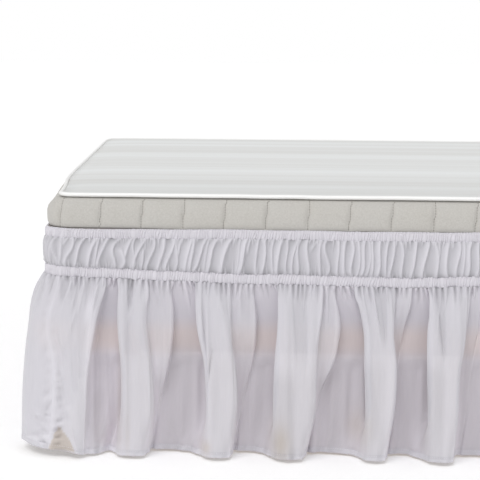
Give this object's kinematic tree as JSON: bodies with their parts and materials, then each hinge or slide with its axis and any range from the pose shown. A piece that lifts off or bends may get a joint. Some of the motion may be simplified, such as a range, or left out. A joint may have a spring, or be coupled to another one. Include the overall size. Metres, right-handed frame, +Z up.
{
  "type": "bed skirt on a bed base with mattress",
  "caption": "White gathered bed skirt on two elastic bands, hanging in soft folds round a plain bed base with legs and a thin piped mattress.",
  "frame": {"origin": "centre of the bed on the floor, under the middle of the legs' bottom faces", "axes": "+X along the foot end towards its right corner, +Y from the foot end towards the head end, +Z up"},
  "size_m": [1.638, 2.1551, 0.514],
  "materials": {
    "white_polyester": "sheer white woven polyester, matte with a faint sheen",
    "white_elastic": "shirred white elastic webbing",
    "base_cloth": "plain dark woven cover",
    "natural_wood": "natural oiled wood",
    "grey_ticking": "pale grey woven ticking, quilted",
    "white_piping": "white woven piping"
  },
  "bodies": {
    "root": {"skirt_foot": "white_polyester", "skirt_left": "white_polyester", "skirt_right": "white_polyester", "skirt_head": "white_polyester", "upper_elastic": "white_elastic", "lower_elastic": "white_elastic", "base_box": "base_cloth", "wood_rail": "natural_wood", "leg_foot_left": "natural_wood", "leg_foot_right": "natural_wood", "leg_middle_left": "natural_wood", "leg_middle_right": "natural_wood", "leg_head_left": "natural_wood", "leg_head_right": "natural_wood", "mattress": "grey_ticking", "mattress_piping": "white_piping"}
  },
  "joints": []
}
